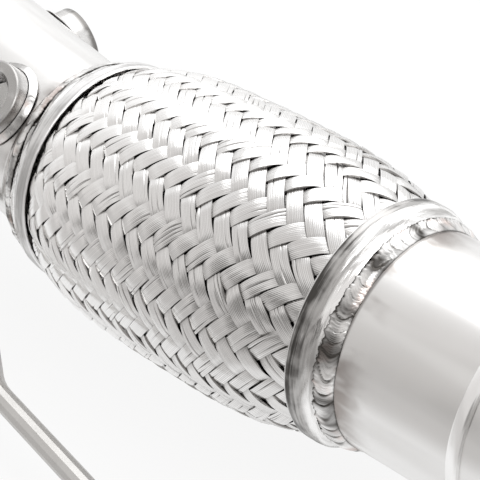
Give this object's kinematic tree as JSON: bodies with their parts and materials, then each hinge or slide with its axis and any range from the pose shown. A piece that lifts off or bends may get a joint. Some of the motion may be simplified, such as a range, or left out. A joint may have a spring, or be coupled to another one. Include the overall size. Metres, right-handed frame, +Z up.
{
  "type": "exhaust downpipe",
  "caption": "Exhaust downpipe with a braided flex section between two welded steel collars, bent tubes to square flanges, threaded bungs and a hanger rod.",
  "frame": {"origin": "under the middle of the box, on the surface that the pipe lies on", "axes": "+X along the flex section's axis towards the outlet, +Z up with both flanges standing on the surface"},
  "size_m": [0.6146, 0.2182, 0.115],
  "materials": {
    "tube_steel": "polished stainless tube with a faint heat tint beside the welds",
    "collar_steel": "pressed stainless, bright",
    "braid_wire": "bright drawn wire laid flat in ribbons",
    "bellows_steel": "thin stainless strip, satin",
    "weld_metal": "rippled weld beads with a straw and grey tint",
    "plate_steel": "ground plate, satin",
    "bung_steel": "turned stainless",
    "rod_steel": "drawn bar, satin"
  },
  "bodies": {
    "root": {"collar_inlet": "collar_steel", "collar_outlet": "collar_steel", "weld_inlet_collar": "weld_metal", "weld_outlet_collar": "weld_metal", "flex_braid": "braid_wire", "flex_bellows": "bellows_steel", "flex_liner": "bellows_steel", "outlet_stub": "tube_steel", "weld_outlet_seam": "weld_metal", "outlet_bend": "tube_steel", "outlet_flange": "plate_steel", "weld_outlet_flange": "weld_metal", "inlet_tube": "tube_steel", "bung_front": "bung_steel", "bung_rear": "bung_steel", "weld_bung_front": "weld_metal", "weld_bung_rear": "weld_metal", "inlet_flange": "plate_steel", "weld_inlet_flange": "weld_metal", "hanger_rod": "rod_steel", "weld_hanger_upper": "weld_metal", "weld_hanger_lower": "weld_metal"}
  },
  "joints": []
}
